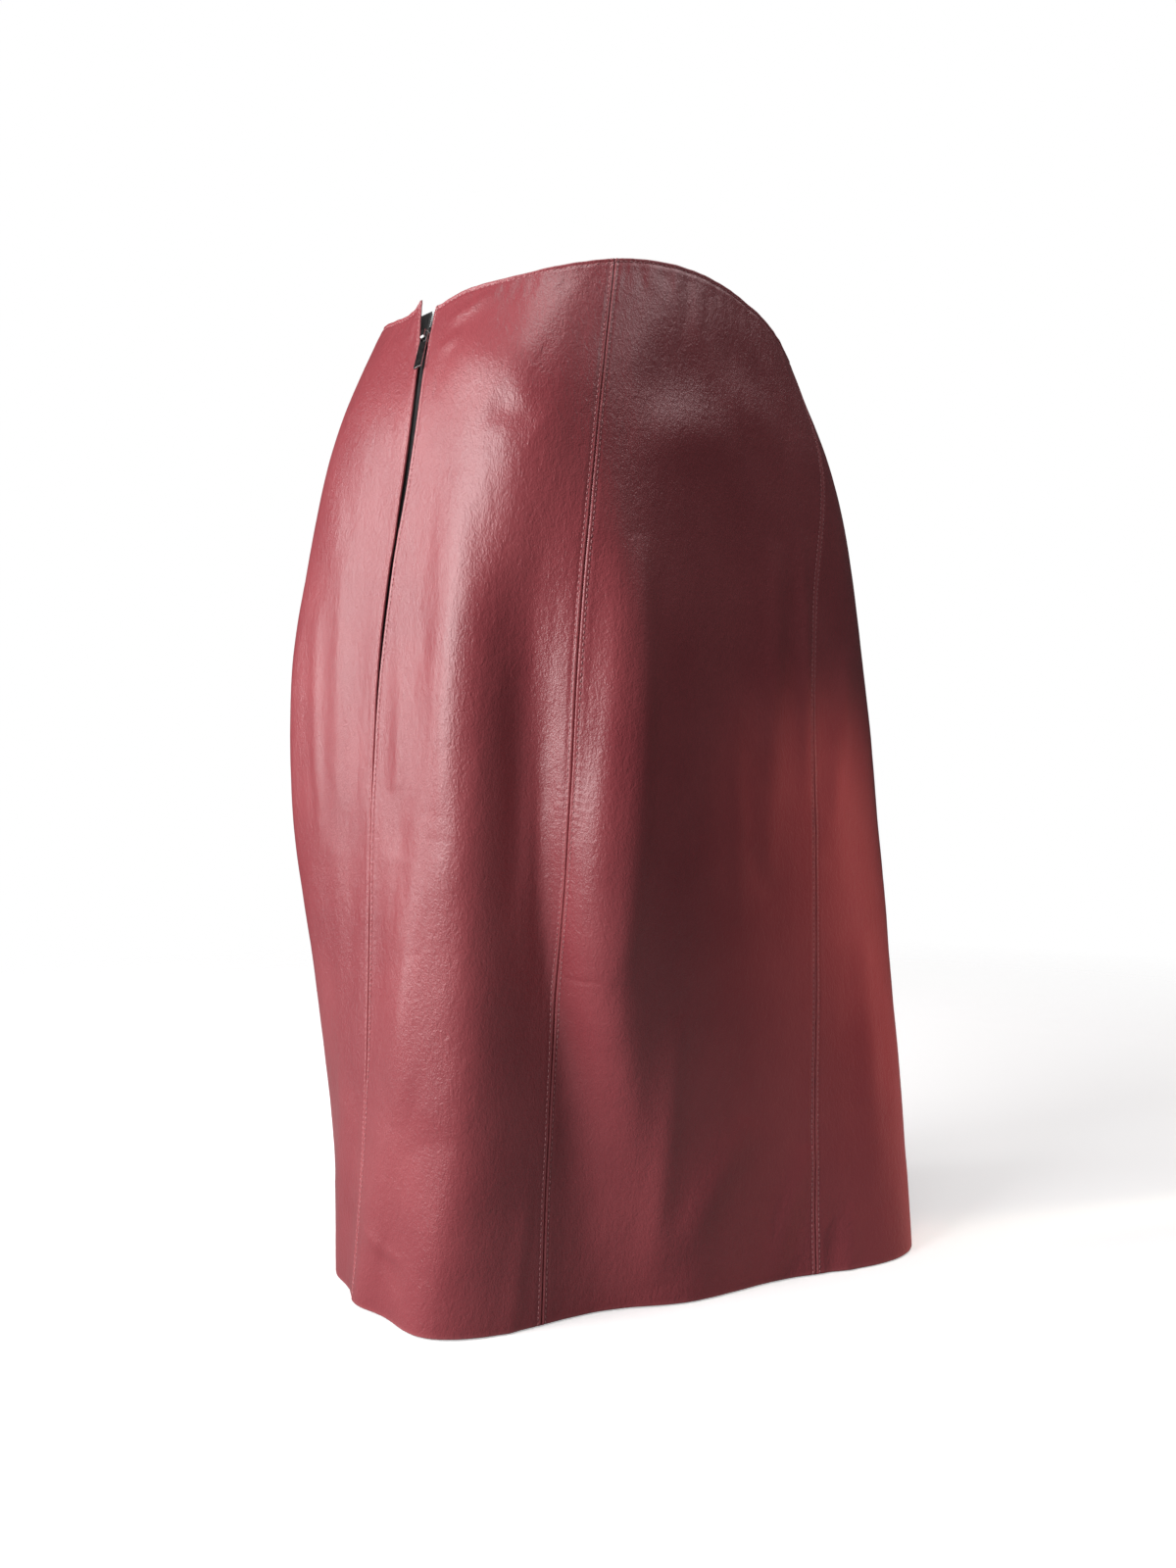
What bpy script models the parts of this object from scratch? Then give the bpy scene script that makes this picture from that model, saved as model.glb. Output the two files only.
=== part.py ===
"""A knee-length leather skirt, filled out as it is worn: six panels and a zip in the left side seam.

Metres, +Z up. The origin is the middle of the waist opening, where the wearer holds the skirt. The front
faces -Y and the wearer's left, with the zip, is +X. Run it with blender --background --python part.py.
"""

from collections import namedtuple
from math import cos, pi, radians, sin

import bmesh
import bpy
import numpy as np
from mathutils import Matrix, Vector

LENGTH = 0.54  # waist to hem
WALL = 0.0015  # the leather with its turned edges pressed down
GAP = 0.0003  # between pieces that touch

# Level cuts through the skirt. level is the height above the hem as a share of LENGTH. The half width is to
# each side, back and front are the depths from the side seams, squareness is 2 for an oval and more for a
# rounded box, turn is how far the cut has swung about the upright axis, and aside and behind move its middle.
Section = namedtuple("Section", "level half_width back front squareness turn aside behind")
SECTIONS = (
    Section(0.00, 0.170, 0.089, 0.082, 4.7, -15.0, -0.006, 0.011),
    Section(0.30, 0.169, 0.098, 0.112, 5.4, 0.5, -0.004, 0.007),
    Section(0.60, 0.171, 0.103, 0.121, 5.5, 9.0, -0.001, 0.002),
    Section(0.80, 0.164, 0.102, 0.114, 4.3, 10.5, -0.001, 0.001),
    Section(0.92, 0.151, 0.100, 0.106, 3.2, 10.5, 0.000, 0.000),
    Section(1.00, 0.132, 0.093, 0.102, 2.6, 10.5, 0.000, 0.000),
)

# Where each seam runs: its angle round the cut in degrees from the left side, towards the back, at each of
# SEAM_LEVELS.
Seam = namedtuple("Seam", "name hem knee thigh hip high_hip waist")
SEAM_LEVELS = (0.0, 0.27, 0.55, 0.75, 0.9, 1.0)
SEAMS = (
    Seam("left_side", 6.7, -3.2, -4.4, -1.0, 3.0, -4),
    Seam("back_left", 61.5, 53.9, 50.9, 51.1, 52.9, 54.2),
    Seam("back_right", 115.2, 110.1, 110.2, 115, 122.4, 124),
    Seam("right_side", 180, 177, 177, 178, 180, 181),
    Seam("front_right", 242, 239, 238, 238, 238, 238),
    Seam("front_left", 298, 297, 299, 300.5, 301.5, 302),
)

# The hem's soft flutes: where each lies, how far it stands out, and how wide it is in degrees.
Flute = namedtuple("Flute", "angle out spread")
FLUTES = (
    Flute(10, 0.004, 8),
    Flute(30, -0.006, 8),
    Flute(50, 0.006, 8),
    Flute(70, -0.006, 8),
    Flute(90, 0.004, 9),
    Flute(110, -0.005, 8),
    Flute(130, 0.006, 8),
    Flute(151, -0.002, 9),
    Flute(172, 0.005, 9),
    Flute(208, -0.005, 11),
    Flute(231, 0.005, 9),
    Flute(263, -0.006, 12),
    Flute(287, 0.005, 10),
    Flute(318, -0.005, 12),
    Flute(341, 0.004, 8),
)
FLUTES_END = 0.7  # the level at which the last trace of the flutes is gone
FLUTES_FADE = 1.5  # how much faster than evenly they fade on the way up

# The long folds, each a row for each level: where it is, how far it stands out, and how far it spreads before
# and after there, in degrees.
Long = namedtuple("Long", "fold level angle out before after")
LONG_FOLDS = (
    Long("hollow_by_back_left_seam", 0.00, 64, 0.000, 12, 7),
    Long("hollow_by_back_left_seam", 0.17, 58.5, -0.021, 12, 6.5),
    Long("hollow_by_back_left_seam", 0.29, 53, -0.031, 10.5, 5),
    Long("hollow_by_back_left_seam", 0.42, 47, -0.032, 8.5, 4.7),
    Long("hollow_by_back_left_seam", 0.57, 44, -0.028, 7.5, 5),
    Long("hollow_by_back_left_seam", 0.70, 42, -0.015, 7.5, 6),
    Long("hollow_by_back_left_seam", 0.85, 42, 0.000, 8, 7),
    Long("hollow_by_back_left_seam", 1.00, 42, 0.000, 8, 7),
    Long("ridge_past_back_left_seam", 0.00, 80, 0.000, 6, 10),
    Long("ridge_past_back_left_seam", 0.17, 74, 0.008, 6, 10),
    Long("ridge_past_back_left_seam", 0.29, 67, 0.012, 5, 11),
    Long("ridge_past_back_left_seam", 0.42, 62, 0.013, 4.5, 12),
    Long("ridge_past_back_left_seam", 0.57, 60, 0.013, 4.5, 12),
    Long("ridge_past_back_left_seam", 0.70, 58.5, 0.010, 4.5, 12),
    Long("ridge_past_back_left_seam", 0.85, 58, 0.000, 5, 12),
    Long("ridge_past_back_left_seam", 1.00, 58, 0.000, 5, 12),
    Long("ridge_at_back_right_seam", 0.00, 116, 0.002, 12, 9),
    Long("ridge_at_back_right_seam", 0.20, 114, 0.007, 12, 9),
    Long("ridge_at_back_right_seam", 0.45, 112, 0.006, 12, 9),
    Long("ridge_at_back_right_seam", 0.70, 112, 0.000, 12, 9),
    Long("ridge_at_back_right_seam", 1.00, 112, 0.000, 12, 9),
    Long("hollow_by_front_left_seam", 0.00, 290, 0.000, 9, 6),
    Long("hollow_by_front_left_seam", 0.30, 293, -0.010, 9, 6),
    Long("hollow_by_front_left_seam", 0.55, 296, -0.010, 8, 6),
    Long("hollow_by_front_left_seam", 0.80, 297, 0.000, 7, 6),
    Long("hollow_by_front_left_seam", 1.00, 297, 0.000, 7, 6),
    Long("hollow_by_front_right_seam", 0.00, 235, 0.000, 8, 8),
    Long("hollow_by_front_right_seam", 0.25, 232, -0.014, 8, 7),
    Long("hollow_by_front_right_seam", 0.50, 229, -0.010, 8, 7),
    Long("hollow_by_front_right_seam", 0.75, 227, 0.000, 8, 7),
    Long("hollow_by_front_right_seam", 1.00, 227, 0.000, 8, 7),
)

# The waist edge isn't level: how far it stands above its height at the zip, by the angle round the cut.
Rise = namedtuple("Rise", "angle up")
WAIST_RISES = (
    Rise(0, 0.001),
    Rise(8, 0.004),
    Rise(27, 0.0075),
    Rise(54, 0.019),
    Rise(82, 0.0235),
    Rise(108, 0.013),
    Rise(135, -0.008),
    Rise(180, -0.013),
    Rise(225, -0.004),
    Rise(270, 0.009),
    Rise(302, 0.012),
    Rise(335, 0.003),
)
RISE_FROM = 0.7  # the level at which that shaping starts

PANELS = (  # name, the seam it starts at, the seam it ends at
    ("back_side_left", "left_side", "back_left"),
    ("back_centre", "back_left", "back_right"),
    ("back_side_right", "back_right", "right_side"),
    ("front_side_right", "right_side", "front_right"),
    ("front_centre", "front_right", "front_left"),
    ("front_side_left", "front_left", "left_side"),
)
PANEL_LEVELS = (
    0, 0.02, 0.08, 0.16, 0.24, 0.32, 0.38, 0.44, 0.5, 0.56, 0.62, 0.68, 0.73, 0.78, 0.84, 0.89, 0.93, 0.97, 1
)
PANEL_COLUMNS = 15

ZIP_FOOT = 0.59  # the level at which the zip ends and the side seam begins
ZIP_OPEN, ZIP_OPEN_BEND = 0.0056, 0.7  # how far the edges stand apart at the waist, and how that grows
ZIP_FLARE, ZIP_FLARE_BEND = 0.0034, 12  # how much further they flare at the very top, and how fast
UNDER = WALL + GAP  # how far inside the skirt's face the zip begins
CHAIN_WIDE, CHAIN_THICK = 0.0044, 0.0012
CHAIN_DROP = 0.0012  # how far below the middle of the slider the closed teeth end
TAPE_WIDE, TAPE_THICK = 0.0125, 0.0006
ZIP_ROWS = 15

SLIDER_LEVEL = 0.968  # where the middle of the slider sits
SLIDER_LONG, SLIDER_WIDE = 0.0104, 0.0058
SLIDER_PLATE = 0.0009  # the thickness of each of the slider's two plates
POST_LONG, POST_WIDE = 0.0030, 0.0016  # the post that holds the plates apart, above the closed teeth
BAIL_LONG, BAIL_HIGH, BAIL_WIDE, BAIL_BAR = 0.0060, 0.0030, 0.0026, 0.0008
PULL_LONG, PULL_WIDE, PULL_THICK = 0.0240, 0.0052, 0.0010
PULL_HOLE_LONG, PULL_HOLE_WIDE = 0.0042, 0.0034
PULL_LEAN = radians(3)  # how far the tab leans off the leather as it hangs
HARD_BEVEL, BEVEL_SEGMENTS = 0.00015, 2

SMALL_TURN = 1e-4  # the step, in radians, over which a direction round the skirt is measured
SMALL_RISE = 1e-3  # the step, as a level, over which a direction up the skirt is measured
SHARP = radians(40)  # edges that bend more than this are shaded sharp


def spline(stops, values, at):
    """A natural cubic spline through the values at the stops, read at another place or places."""
    stops, values = np.asarray(stops, float), np.asarray(values, float)
    count, step = len(stops), np.diff(stops)
    rows, right = np.eye(count), np.zeros(count)
    for i in range(1, count - 1):
        rows[i, i - 1 : i + 2] = step[i - 1], 2 * (step[i - 1] + step[i]), step[i]
        right[i] = 6 * ((values[i + 1] - values[i]) / step[i] - (values[i] - values[i - 1]) / step[i - 1])
    bend = np.linalg.solve(rows, right)
    i = np.clip(np.searchsorted(stops, at) - 1, 0, count - 2)
    after, before, wide = at - stops[i], stops[i + 1] - at, step[i]
    curve = (bend[i] * before**3 + bend[i + 1] * after**3) / (6 * wide)
    left = (values[i] / wide - bend[i] * wide / 6) * before
    return curve + left + (values[i + 1] / wide - bend[i + 1] * wide / 6) * after


def section_value(column, level):
    levels = [row.level for row in SECTIONS]
    return spline(levels, [getattr(row, column) for row in SECTIONS], level)


def flute(angle, level):
    """How far the hem's flutes push the leather out at an angle in radians."""
    fade = max(0.0, 1 - level / FLUTES_END) ** FLUTES_FADE
    total = np.zeros_like(angle)
    for row in FLUTES:
        away = (np.degrees(angle) - row.angle + 180) % 360 - 180
        total += row.out * np.exp(-0.5 * (away / row.spread) ** 2)
    return fade * total


def long_folds(angle, level):
    """How far the long folds push the leather out."""
    total = np.zeros_like(angle)
    for name in sorted({row.fold for row in LONG_FOLDS}):
        rows = [row for row in LONG_FOLDS if row.fold == name]
        middle, out, before, after = (
            spline([row.level for row in rows], [getattr(row, column) for row in rows], level)
            for column in ("angle", "out", "before", "after")
        )
        away = (np.degrees(angle) - middle + 180) % 360 - 180
        total += out * np.exp(-0.5 * (away / np.where(away < 0, before, after)) ** 2)
    return total


def waist_rise(angle):
    """The height of the waist edge above its height at the zip. The table is read round and round."""
    stops = [row.angle + round_ * 360 for round_ in (-1, 0, 1) for row in WAIST_RISES]
    return spline(stops, [row.up for row in WAIST_RISES] * 3, np.degrees(angle) % 360)


def ring(angle, level):
    """Points of the skirt's outside at angles in radians, all at one level."""
    across, along = np.cos(angle), np.sin(angle)
    depth = np.where(along > 0, section_value("back", level), section_value("front", level))
    power = section_value("squareness", level)
    round_off = (np.abs(across) ** power + np.abs(along) ** power) ** (-1 / power)
    push = flute(angle, level) + long_folds(angle, level)
    x = (section_value("half_width", level) * round_off + push) * across
    y = (depth * round_off + push) * along
    turn = radians(section_value("turn", level))
    share = max(0.0, (level - RISE_FROM) / (1 - RISE_FROM)) ** 2
    return np.stack(
        [
            x * cos(turn) - y * sin(turn) + section_value("aside", level),
            x * sin(turn) + y * cos(turn) + section_value("behind", level),
            LENGTH * (level - 1) + share * waist_rise(angle),
        ],
        axis=-1,
    )


def seam_angle(name, level):
    row = next(seam for seam in SEAMS if seam.name == name)
    return radians(spline(SEAM_LEVELS, row[1:], level))


def outward(angle, level):
    """The level directions that point out of the skirt at the angles."""
    along = ring(angle + SMALL_TURN, level) - ring(angle - SMALL_TURN, level)
    out = np.stack([along[..., 1], -along[..., 0], np.zeros_like(angle)], axis=-1)
    return out / np.linalg.norm(out, axis=-1, keepdims=True)


def beside(angle, level, aside):
    """The angle that lies aside metres further round the skirt."""
    reach = np.linalg.norm(ring(angle + SMALL_TURN, level) - ring(angle - SMALL_TURN, level))
    return angle + aside * 2 * SMALL_TURN / reach


def zip_gap(level):
    """How far apart the two leather edges stand over the zip, and GAP below it."""
    share = max(0.0, (level - ZIP_FOOT) / (1 - ZIP_FOOT))
    return GAP + ZIP_OPEN * share**ZIP_OPEN_BEND + ZIP_FLARE * share**ZIP_FLARE_BEND


def edge_angle(seam, level, side):
    """The angle of a panel's edge on one side of a seam: -1 before it, 1 after it."""
    apart = zip_gap(level) if seam == "left_side" else GAP
    return beside(seam_angle(seam, level), level, side * apart / 2)


def wall(name, levels, columns, edges, out, inside):
    """A wall that follows the skirt between two edges. out and inside are how far its faces stand out."""
    mesh = bmesh.new()
    layers = ([], [])
    for level in levels:
        start, end = edges(level)
        angles = np.linspace(start, end if end > start else end + 2 * pi, columns)
        skin, away = ring(angles, level), outward(angles, level)
        for layer, distance in zip(layers, (out, inside)):
            layer.append([mesh.verts.new(point) for point in skin + away * distance])
    outer, inner = layers
    for low, high in zip(range(len(levels) - 1), range(1, len(levels))):
        for left, right in zip(range(columns - 1), range(1, columns)):
            mesh.faces.new((outer[low][left], outer[low][right], outer[high][right], outer[high][left]))
            mesh.faces.new((inner[low][right], inner[low][left], inner[high][left], inner[high][right]))
        for side, turn in ((0, 1), (-1, -1)):  # cut the same way at both ends, so neighbours stay parallel
            mesh.faces.new((inner[low][side], outer[low][side], inner[high][side])[::turn])
            mesh.faces.new((outer[low][side], outer[high][side], inner[high][side])[::turn])
    for left, right in zip(range(columns - 1), range(1, columns)):
        mesh.faces.new((outer[0][right], outer[0][left], inner[0][left], inner[0][right]))
        mesh.faces.new((outer[-1][left], outer[-1][right], inner[-1][right], inner[-1][left]))
    return finished(name, mesh)


def finished(name, mesh):
    """An object made of the mesh, with its faces outward and its long bends shaded smooth."""
    bmesh.ops.recalc_face_normals(mesh, faces=mesh.faces)
    data = bpy.data.meshes.new(name)
    for face in mesh.faces:
        face.smooth = True
    mesh.to_mesh(data)
    mesh.free()
    made = bpy.data.objects.new(name, data)
    bpy.context.scene.collection.objects.link(made)
    made.data.set_sharp_from_angle(angle=SHARP)
    return made


def material(name, color, roughness, metallic=0.0):
    made = bpy.data.materials.new(name)
    made.use_nodes = True
    surface = made.node_tree.nodes["Principled BSDF"]
    surface.inputs["Base Color"].default_value = (*color, 1)
    surface.inputs["Roughness"].default_value = roughness
    surface.inputs["Metallic"].default_value = metallic
    return made


def panel(name, start, end, leather):
    """One cut piece of leather, between two seams, from the hem to the waist edge."""
    made = wall(
        name,
        PANEL_LEVELS,
        PANEL_COLUMNS,
        lambda level: (edge_angle(start, level, 1), edge_angle(end, level, -1)),
        0,
        -WALL,
    )
    made.data.materials.append(leather)


def zip_strip(name, left, right, top, thick, look):
    """A strip just inside the leather that follows the zip, between two distances from its middle."""
    sink = UNDER + (CHAIN_THICK - thick) / 2
    made = wall(
        name,
        np.linspace(ZIP_FOOT, top, ZIP_ROWS),
        2,
        lambda level: tuple(
            beside(seam_angle("left_side", level), level, aside) for aside in (left, right)
        ),
        -sink,
        -sink - thick,
    )
    made.data.materials.append(look)


def zip_axes(level):
    """A place on the zip as a matrix: X goes down the zip, Y round the skirt and Z straight out."""
    here, above, below = (
        Vector(ring(np.array(seam_angle("left_side", at)), at))
        for at in (level, level + SMALL_RISE, level - SMALL_RISE)
    )
    down = (below - above).normalized()
    level_out = Vector(outward(np.array(seam_angle("left_side", level)), level))
    round_skirt = Vector((0, 0, 1)).cross(level_out)
    out = down.cross(round_skirt).normalized()
    axes = Matrix((down, out.cross(down), out)).transposed()
    return Matrix.Translation(here) @ axes.to_4x4()


def extruded(name, outline, wide, place):
    """An outline of (down, out) points, extruded across the zip and placed."""
    mesh = bmesh.new()
    sides = [[mesh.verts.new((x, y, z)) for x, z in outline] for y in (-wide / 2, wide / 2)]
    mesh.faces.new(sides[0])
    mesh.faces.new(sides[1])
    for i, j in zip(range(len(outline)), (*range(1, len(outline)), 0)):
        mesh.faces.new((sides[0][i], sides[1][i], sides[1][j], sides[0][j]))
    made = finished(name, mesh)
    made.matrix_world = place
    return made


def block(name, low, high, place):
    """A box between two corners, each (down, across, out)."""
    outline = ((low[0], low[2]), (high[0], low[2]), (high[0], high[2]), (low[0], high[2]))
    middle = Matrix.Translation((0, (low[1] + high[1]) / 2, 0))
    return extruded(name, outline, high[1] - low[1], place @ middle)


def combined(base, other, operation):
    """Joins the other shape to the base, or cuts it out of it, and hides the other."""
    joint = base.modifiers.new(other.name, "BOOLEAN")
    joint.operation = operation
    joint.object = other
    other.hide_render = True
    other.display_type = "WIRE"


def softened(made):
    """Small rounded edges on a hard piece."""
    bevel = made.modifiers.new("edges", "BEVEL")
    bevel.width = HARD_BEVEL
    bevel.segments = BEVEL_SEGMENTS
    bevel.limit_method = "ANGLE"


def slider(place, slot, metal):
    """Two plates with the teeth between them, held apart by a post and topped by the arch of the bail."""
    low, high = slot
    half, side = SLIDER_LONG / 2, SLIDER_WIDE / 2
    made = block("zip_slider", (-half, -side, high), (half, side, high + SLIDER_PLATE), place)
    back = block("slider_back_plate", (-half, -side, low - SLIDER_PLATE), (half, side, low), place)
    post_end = -half + POST_LONG
    lap = SLIDER_PLATE / 2
    post = block(
        "slider_post",
        (-half + lap, -POST_WIDE / 2, low - lap),
        (post_end, POST_WIDE / 2, high + lap),
        place,
    )
    foot, top = high + lap, high + SLIDER_PLATE + BAIL_HIGH
    reach, corner, bar = BAIL_LONG / 2, BAIL_BAR, BAIL_BAR
    arch = (
        (-reach, foot),
        (-reach, top - corner),
        (-reach + corner, top),
        (reach - corner, top),
        (reach, top - corner),
        (reach, foot),
        (reach - bar, foot),
        (reach - bar, top - bar - corner / 2),
        (reach - bar - corner / 2, top - bar),
        (-reach + bar + corner / 2, top - bar),
        (-reach + bar, top - bar - corner / 2),
        (-reach + bar, foot),
    )
    bail = extruded("slider_bail", arch, BAIL_WIDE, place)
    for other in (post, back, bail):
        combined(made, other, "UNION")
    softened(made)
    made.data.materials.append(metal)


def pull(place, metal):
    """The tab, with a hole at its top whose end bar turns inside the bail. place is on the bar's axis."""
    half, side = PULL_THICK / 2, PULL_WIDE / 2
    place = place @ Matrix.Rotation(-PULL_LEAN, 4, "Y")
    made = block("zip_pull", (-half, -side, -half), (PULL_LONG, side, half), place)
    hole = block(
        "pull_hole",
        (half, -PULL_HOLE_WIDE / 2, -PULL_THICK),
        (half + PULL_HOLE_LONG, PULL_HOLE_WIDE / 2, PULL_THICK),
        place,
    )
    combined(made, hole, "DIFFERENCE")
    softened(made)
    made.data.materials.append(metal)


def main():
    for old in list(bpy.data.objects):
        bpy.data.objects.remove(old)
    leather = material("burgundy_leather", (0.25, 0.042, 0.052), 0.38)
    tape = material("black_tape", (0.012, 0.012, 0.013), 0.8)
    teeth = material("black_nylon", (0.015, 0.015, 0.016), 0.45)
    metal = material("dark_metal", (0.16, 0.15, 0.15), 0.28, metallic=1.0)
    for name, start, end in PANELS:
        panel(name, start, end, leather)
    place = zip_axes(SLIDER_LEVEL)
    chain_top = SLIDER_LEVEL - CHAIN_DROP / LENGTH
    chain_side = CHAIN_WIDE / 2
    zip_strip("zip_chain", -chain_side, chain_side, chain_top, CHAIN_THICK, teeth)
    inner, outer = chain_side + GAP, chain_side + GAP + TAPE_WIDE
    zip_strip("zip_tape_back", inner, outer, 1, TAPE_THICK, tape)
    zip_strip("zip_tape_front", -outer, -inner, 1, TAPE_THICK, tape)
    slot = (-UNDER - CHAIN_THICK - GAP, -UNDER + 2 * GAP)
    slider(place, slot, metal)
    hinge = slot[1] + SLIDER_PLATE + GAP + PULL_THICK / 2
    pull(place @ Matrix.Translation((0, 0, hinge)), metal)
    bpy.context.view_layer.update()


main()
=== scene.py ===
"""The looks of a knee-length leather skirt: nappa panels with their folds, topstitching and side zip.

Metres, +Z up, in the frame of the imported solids. The origin is the middle of the waist opening, the front
faces -Y and the wearer's left, with the zip, is +X.
"""

from collections import namedtuple
from math import cos, pi, radians, sin

import bpy
import numpy as np
from mathutils import Matrix, Vector


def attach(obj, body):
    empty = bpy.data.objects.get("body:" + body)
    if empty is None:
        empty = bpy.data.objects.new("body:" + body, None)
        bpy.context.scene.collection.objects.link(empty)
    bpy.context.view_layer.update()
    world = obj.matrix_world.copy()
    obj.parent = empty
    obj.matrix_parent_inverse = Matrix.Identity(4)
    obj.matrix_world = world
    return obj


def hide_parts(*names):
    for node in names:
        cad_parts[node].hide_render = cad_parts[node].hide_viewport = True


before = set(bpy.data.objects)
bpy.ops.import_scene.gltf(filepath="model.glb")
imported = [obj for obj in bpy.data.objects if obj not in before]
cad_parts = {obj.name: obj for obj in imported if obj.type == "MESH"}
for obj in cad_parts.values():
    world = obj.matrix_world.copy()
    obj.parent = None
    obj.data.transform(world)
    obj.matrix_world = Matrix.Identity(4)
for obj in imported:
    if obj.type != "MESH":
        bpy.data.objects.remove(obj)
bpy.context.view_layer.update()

# ---------------------------------------------------------------- the cut, as the solids have it

LENGTH = 0.54  # waist to hem
WALL = 0.0015  # the leather with its turned edges pressed down
GAP = 0.0003  # between the solids

# The skirt's rings. A level is 0 at the hem and 1 at the waist. Each ring has half its width, its depth to
# the back and to the front, how square it is, its turn in degrees, and how far its middle is from the origin.
Section = namedtuple("Section", "level half_width back front squareness turn aside behind")
SECTIONS = (
    Section(0.00, 0.170, 0.089, 0.082, 4.7, -15.0, -0.006, 0.011),
    Section(0.30, 0.169, 0.098, 0.112, 5.4, 0.5, -0.004, 0.007),
    Section(0.60, 0.171, 0.103, 0.121, 5.5, 9.0, -0.001, 0.002),
    Section(0.80, 0.164, 0.102, 0.114, 4.3, 10.5, -0.001, 0.001),
    Section(0.92, 0.151, 0.100, 0.106, 3.2, 10.5, 0.000, 0.000),
    Section(1.00, 0.132, 0.093, 0.102, 2.6, 10.5, 0.000, 0.000),
)

# Where each seam runs, in degrees from the wearer's left towards the back, at six levels.
Seam = namedtuple("Seam", "name hem knee thigh hip high_hip waist")
SEAM_LEVELS = (0.0, 0.27, 0.55, 0.75, 0.9, 1.0)
SEAMS = (
    Seam("left_side", 6.7, -3.2, -4.4, -1.0, 3.0, -4),
    Seam("back_left", 61.5, 53.9, 50.9, 51.1, 52.9, 54.2),
    Seam("back_right", 115.2, 110.1, 110.2, 115, 122.4, 124),
    Seam("right_side", 180, 177, 177, 178, 180, 181),
    Seam("front_right", 242, 239, 238, 238, 238, 238),
    Seam("front_left", 298, 297, 299, 300.5, 301.5, 302),
)

# The hem's flutes: where each is, how far it stands out, and how far it spreads, in degrees.
Flute = namedtuple("Flute", "angle out spread")
FLUTES = (
    Flute(10, 0.004, 8),
    Flute(30, -0.006, 8),
    Flute(50, 0.006, 8),
    Flute(70, -0.006, 8),
    Flute(90, 0.004, 9),
    Flute(110, -0.005, 8),
    Flute(130, 0.006, 8),
    Flute(151, -0.002, 9),
    Flute(172, 0.005, 9),
    Flute(208, -0.005, 11),
    Flute(231, 0.005, 9),
    Flute(263, -0.006, 12),
    Flute(287, 0.005, 10),
    Flute(318, -0.005, 12),
    Flute(341, 0.004, 8),
)
FLUTES_END = 0.7  # the level where they have gone
FLUTES_FADE = 1.5  # how quickly they go

# The long folds, each with a row for each level: where it is, how far it stands out, and how far it spreads
# before and after there, in degrees.
Long = namedtuple("Long", "level angle out before after")
LONG_FOLDS = {
    "hollow_by_back_left_seam": (
        Long(0.00, 64, 0.000, 12, 7),
        Long(0.17, 58.5, -0.021, 12, 6.5),
        Long(0.29, 53, -0.031, 10.5, 5),
        Long(0.42, 47, -0.032, 8.5, 4.7),
        Long(0.57, 44, -0.028, 7.5, 5),
        Long(0.70, 42, -0.015, 7.5, 6),
        Long(0.85, 42, 0.000, 8, 7),
        Long(1.00, 42, 0.000, 8, 7),
    ),
    "ridge_past_back_left_seam": (
        Long(0.00, 80, 0.000, 6, 10),
        Long(0.17, 74, 0.008, 6, 10),
        Long(0.29, 67, 0.012, 5, 11),
        Long(0.42, 62, 0.013, 4.5, 12),
        Long(0.57, 60, 0.013, 4.5, 12),
        Long(0.70, 58.5, 0.010, 4.5, 12),
        Long(0.85, 58, 0.000, 5, 12),
        Long(1.00, 58, 0.000, 5, 12),
    ),
    "ridge_at_back_right_seam": (
        Long(0.00, 116, 0.002, 12, 9),
        Long(0.20, 114, 0.007, 12, 9),
        Long(0.45, 112, 0.006, 12, 9),
        Long(0.70, 112, 0.000, 12, 9),
        Long(1.00, 112, 0.000, 12, 9),
    ),
    "hollow_by_front_left_seam": (
        Long(0.00, 290, 0.000, 9, 6),
        Long(0.30, 293, -0.010, 9, 6),
        Long(0.55, 296, -0.010, 8, 6),
        Long(0.80, 297, 0.000, 7, 6),
        Long(1.00, 297, 0.000, 7, 6),
    ),
    "hollow_by_front_right_seam": (
        Long(0.00, 235, 0.000, 8, 8),
        Long(0.25, 232, -0.014, 8, 7),
        Long(0.50, 229, -0.010, 8, 7),
        Long(0.75, 227, 0.000, 8, 7),
        Long(1.00, 227, 0.000, 8, 7),
    ),
}

# How far the waist edge stands above its height at the zip.
Rise = namedtuple("Rise", "angle up")
WAIST_RISES = (
    Rise(0, 0.001),
    Rise(8, 0.004),
    Rise(27, 0.0075),
    Rise(54, 0.019),
    Rise(82, 0.0235),
    Rise(108, 0.013),
    Rise(135, -0.008),
    Rise(180, -0.013),
    Rise(225, -0.004),
    Rise(270, 0.009),
    Rise(302, 0.012),
    Rise(335, 0.003),
)
RISE_FROM = 0.7  # the level above which the rings follow the waist edge

# Each panel with the seams at its two long edges, and what it is cut from, without its turnings.
Panel = namedtuple("Panel", "name start end cut_width cut_area")
PANELS = (
    Panel("back_side_left", "left_side", "back_left", 0.138, 0.0675),
    Panel("back_centre", "back_left", "back_right", 0.208, 0.108),
    Panel("back_side_right", "back_right", "right_side", 0.186, 0.089),
    Panel("front_side_right", "right_side", "front_right", 0.165, 0.082),
    Panel("front_centre", "front_right", "front_left", 0.202, 0.104),
    Panel("front_side_left", "front_left", "left_side", 0.170, 0.085),
)

ZIP_FOOT = 0.59  # the level where the zip ends
ZIP_OPEN, ZIP_OPEN_BEND = 0.0056, 0.7  # how far its edges stand apart, and how that grows towards the waist
ZIP_FLARE, ZIP_FLARE_BEND = 0.0034, 12  # the same for its flare just under the waist
UNDER = WALL + GAP  # how far below the leather's face the zip starts
CHAIN_WIDE, CHAIN_THICK = 0.0044, 0.0012
TAPE_WIDE, TAPE_THICK = 0.0125, 0.0006
SLIDER_LEVEL = 0.968

# ---------------------------------------------------------------- the finish, in the maker's sizes

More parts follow.
